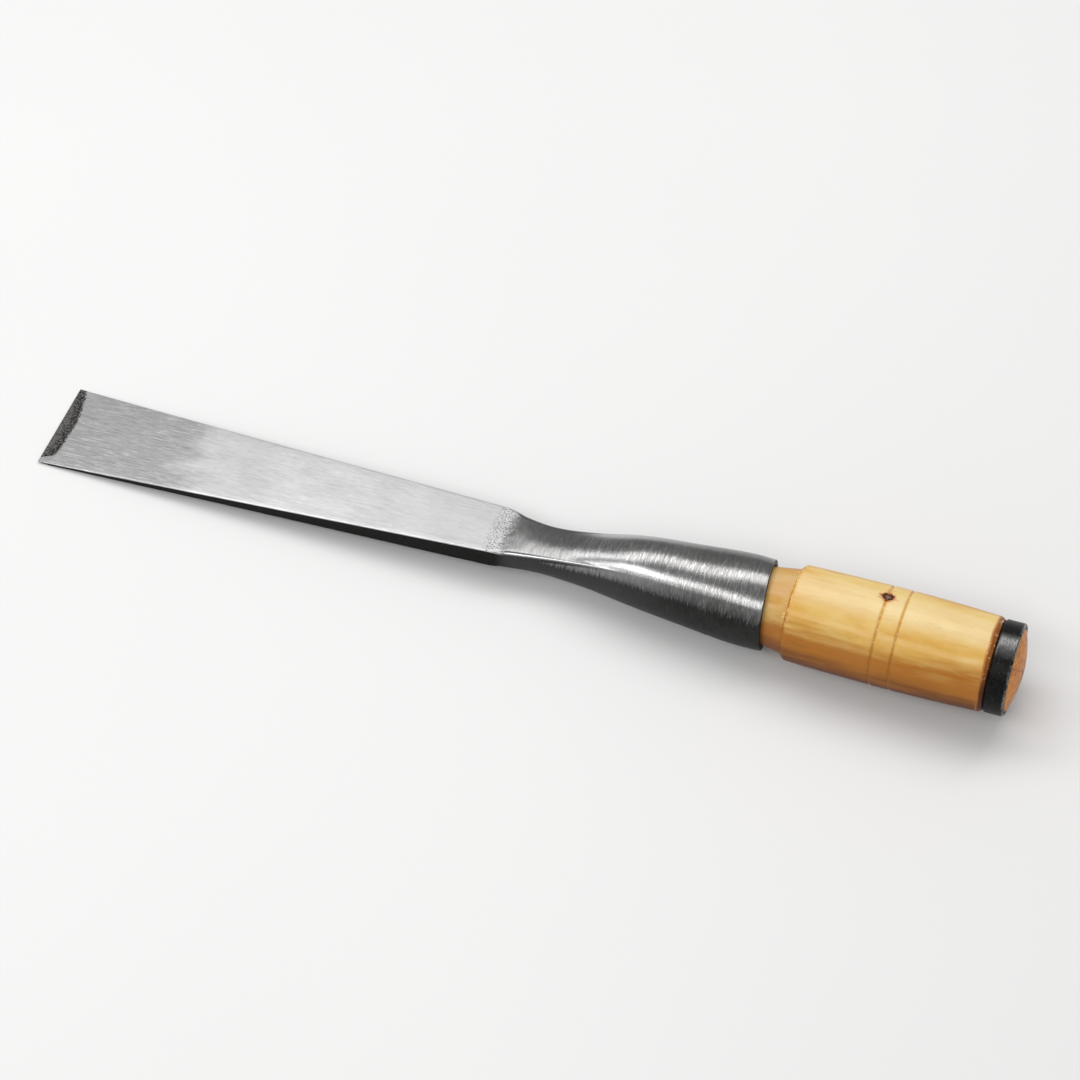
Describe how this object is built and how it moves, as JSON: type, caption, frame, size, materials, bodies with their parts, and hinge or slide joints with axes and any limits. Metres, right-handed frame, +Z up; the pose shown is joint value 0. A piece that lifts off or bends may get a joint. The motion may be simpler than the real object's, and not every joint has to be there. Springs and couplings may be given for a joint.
{
  "type": "bench chisel",
  "caption": "Forged socket chisel: long tapered flat blade, waisted neck and hollow conical socket, with a turned wooden handle and a steel striking hoop.",
  "frame": {"origin": "on the surface the chisel lies on, under the middle of its bounding box", "axes": "+X along the tool from the cutting edge to the struck end, +Y across the blade, +Z up out of the flat face"},
  "size_m": [0.3578, 0.036, 0.0361],
  "materials": {
    "forged_steel": "ground bright on the flat face, dark forge finish with crosswise grinding on the socket",
    "lacquered_wood": "clear gloss lacquer over pale yellow wood",
    "blackened_steel": "black oxide, satin"
  },
  "bodies": {
    "root": {"forged_blade_and_socket": "forged_steel", "turned_handle": "lacquered_wood", "striking_hoop": "blackened_steel"}
  },
  "joints": []
}
